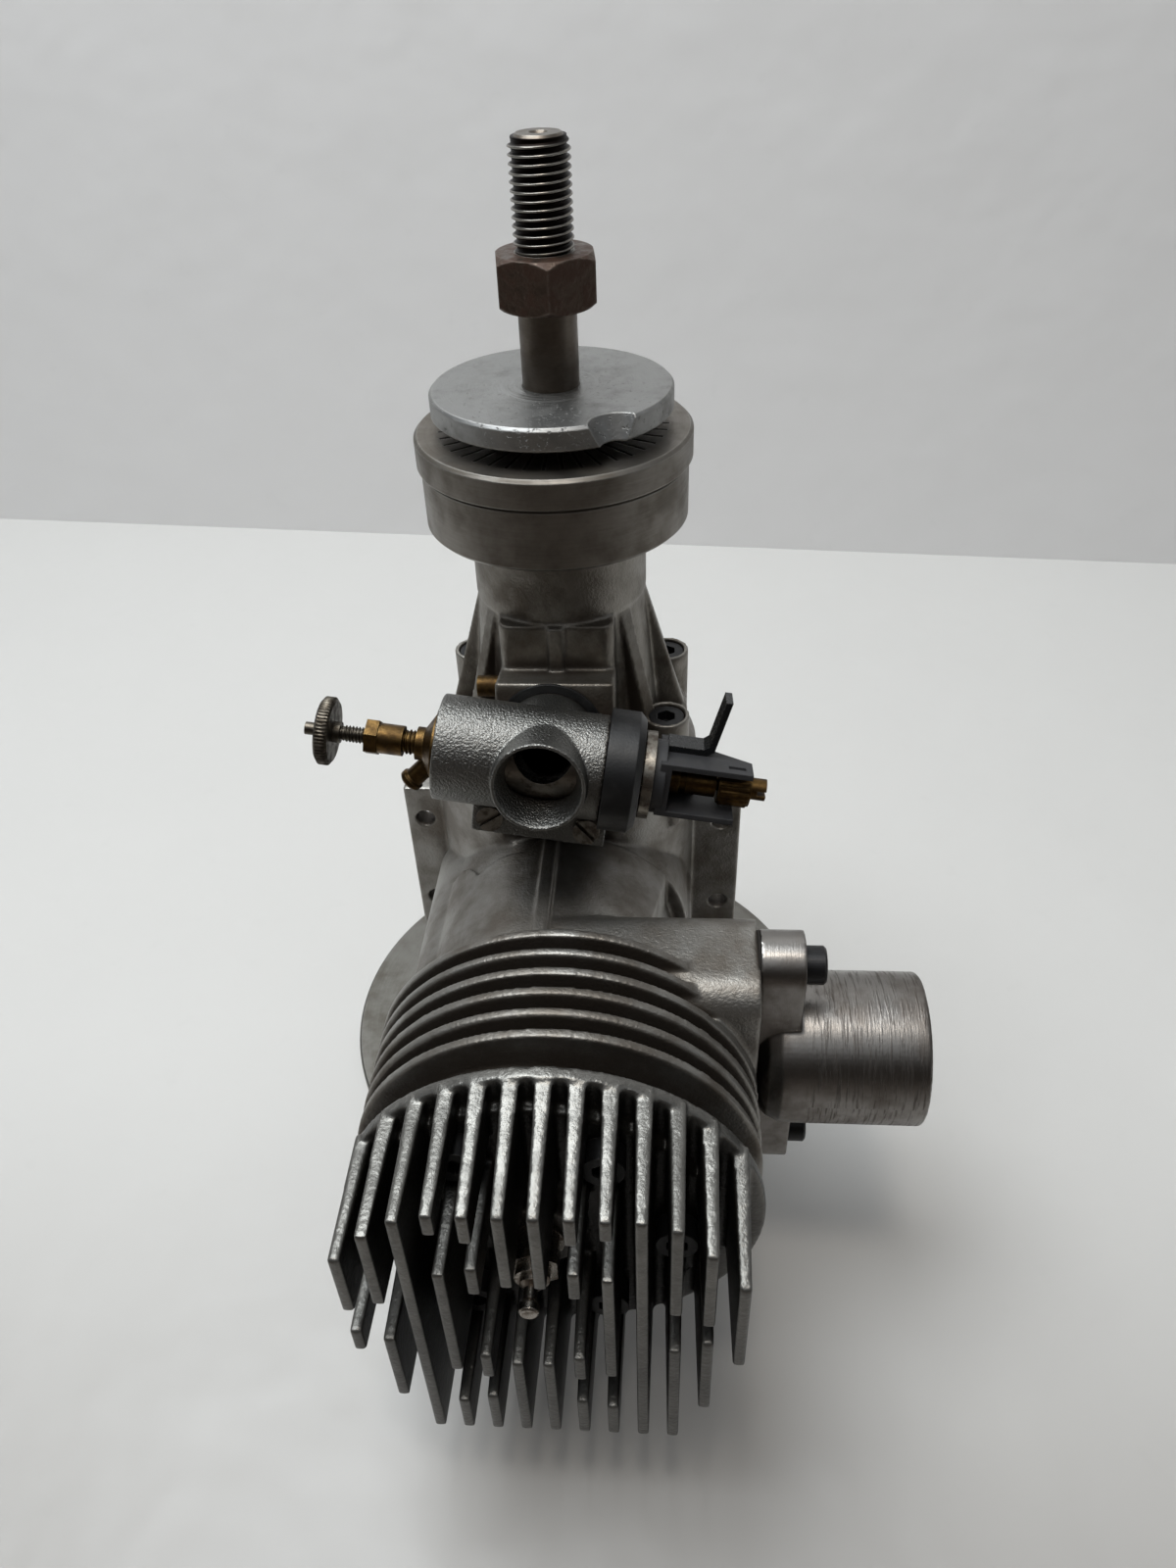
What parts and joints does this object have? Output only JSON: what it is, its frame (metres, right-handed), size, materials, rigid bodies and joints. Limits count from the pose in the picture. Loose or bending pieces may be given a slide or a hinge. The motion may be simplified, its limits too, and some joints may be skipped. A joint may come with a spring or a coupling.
{
  "type": "model aircraft glow engine",
  "caption": "Single-cylinder two-stroke glow engine with finned head, front carburettor, side exhaust and threaded propeller shaft, on a round rear disc.",
  "frame": {"origin": "on the crankshaft axis at the underside of the round rear disc", "axes": "+Z along the crankshaft towards the propeller, -Y along the cylinder towards the head, +X towards the exhaust and the throttle arm"},
  "size_m": [0.1273, 0.1693, 0.2043],
  "materials": {
    "cast_aluminium": "as cast, stained by burnt oil",
    "machined_aluminium": "turned and milled, dulled",
    "steel": "ground and turned steel",
    "rusty_steel": "steel with surface rust",
    "black_steel": "black oxide",
    "brass": "dulled brass",
    "bronze": "bearing bronze",
    "black_plastic": "moulded black plastic",
    "black_rubber": "matt rubber",
    "gasket": "fibre gasket"
  },
  "bodies": {
    "engine": {"rear_disc": "machined_aluminium", "disc_screws": "black_steel", "rear_cover": "cast_aluminium", "rear_gasket": "gasket", "rear_cover_screws": "black_steel", "crankcase": "cast_aluminium", "cylinder_liner": "brass", "head_gasket": "gasket", "cylinder_head": "machined_aluminium", "head_screws": "black_steel", "glow_plug_washer": "brass", "glow_plug_body": "steel", "glow_plug_post": "steel", "rear_bearing_outer": "steel", "nose_bearing_outer": "steel", "front_housing": "cast_aluminium", "front_housing_screws": "black_steel", "intake_plug": "brass", "barrel_stop_screw": "black_steel", "carb_body": "cast_aluminium", "carb_seal": "black_rubber", "carb_screws": "steel", "barrel_boot": "black_plastic", "needle_seat": "brass", "needle_nut": "brass", "fuel_nipple": "brass", "exhaust_gasket": "gasket", "exhaust_adapter": "machined_aluminium", "exhaust_screws": "black_steel"},
    "crank": {"crankshaft": "steel", "rear_bearing_inner": "steel", "nose_bearing_inner": "steel", "prop_driver": "machined_aluminium", "drive_collet": "brass", "prop_washer": "machined_aluminium", "prop_nut": "rusty_steel"},
    "piston": {"piston": "machined_aluminium", "piston_ring": "steel", "wrist_pin": "steel", "wrist_pin_clips": "steel"},
    "rod": {"connecting_rod": "machined_aluminium", "big_end_bush": "bronze", "small_end_bush": "bronze", "crankpin": "steel"},
    "throttle": {"throttle_barrel": "steel", "thrust_washer": "steel", "throttle_arm": "black_plastic", "idle_tube": "brass", "throttle_lever": "black_steel"},
    "idle_screw": {"idle_screw": "brass"},
    "needle": {"mixture_needle": "steel", "needle_wheel": "steel"}
  },
  "joints": [
    {"name": "crank_spin", "type": "hinge", "parent": "engine", "child": "crank", "pos_m": [0, 0, 0.1], "axis": [0, 0, 1], "continuous": true},
    {"name": "piston_slide", "type": "slide", "parent": "engine", "child": "piston", "axis": [0, 1, 0], "range_m": [0, 0.026]},
    {"name": "rod_swing", "type": "hinge", "parent": "piston", "child": "rod", "pos_m": [0, -0.071, 0.058], "axis": [0, 0, 1], "range_deg": [-12.95, 12.95]},
    {"name": "throttle_turn", "type": "hinge", "parent": "engine", "child": "throttle", "pos_m": [-0.001, -0.03701, 0.11124], "axis": [0.9903, -0.0289, -0.1361], "range_deg": [-42, 38]},
    {"name": "idle_screw_turn", "type": "hinge", "parent": "throttle", "child": "idle_screw", "pos_m": [0.03366, -0.03802, 0.10648], "axis": [0.9903, -0.0289, -0.1361], "range_deg": [-180, 180]},
    {"name": "needle_turn", "type": "hinge", "parent": "engine", "child": "needle", "pos_m": [-0.0416, -0.03582, 0.11682], "axis": [-0.9903, 0.0289, 0.1361], "range_deg": [-540, 540]}
  ]
}
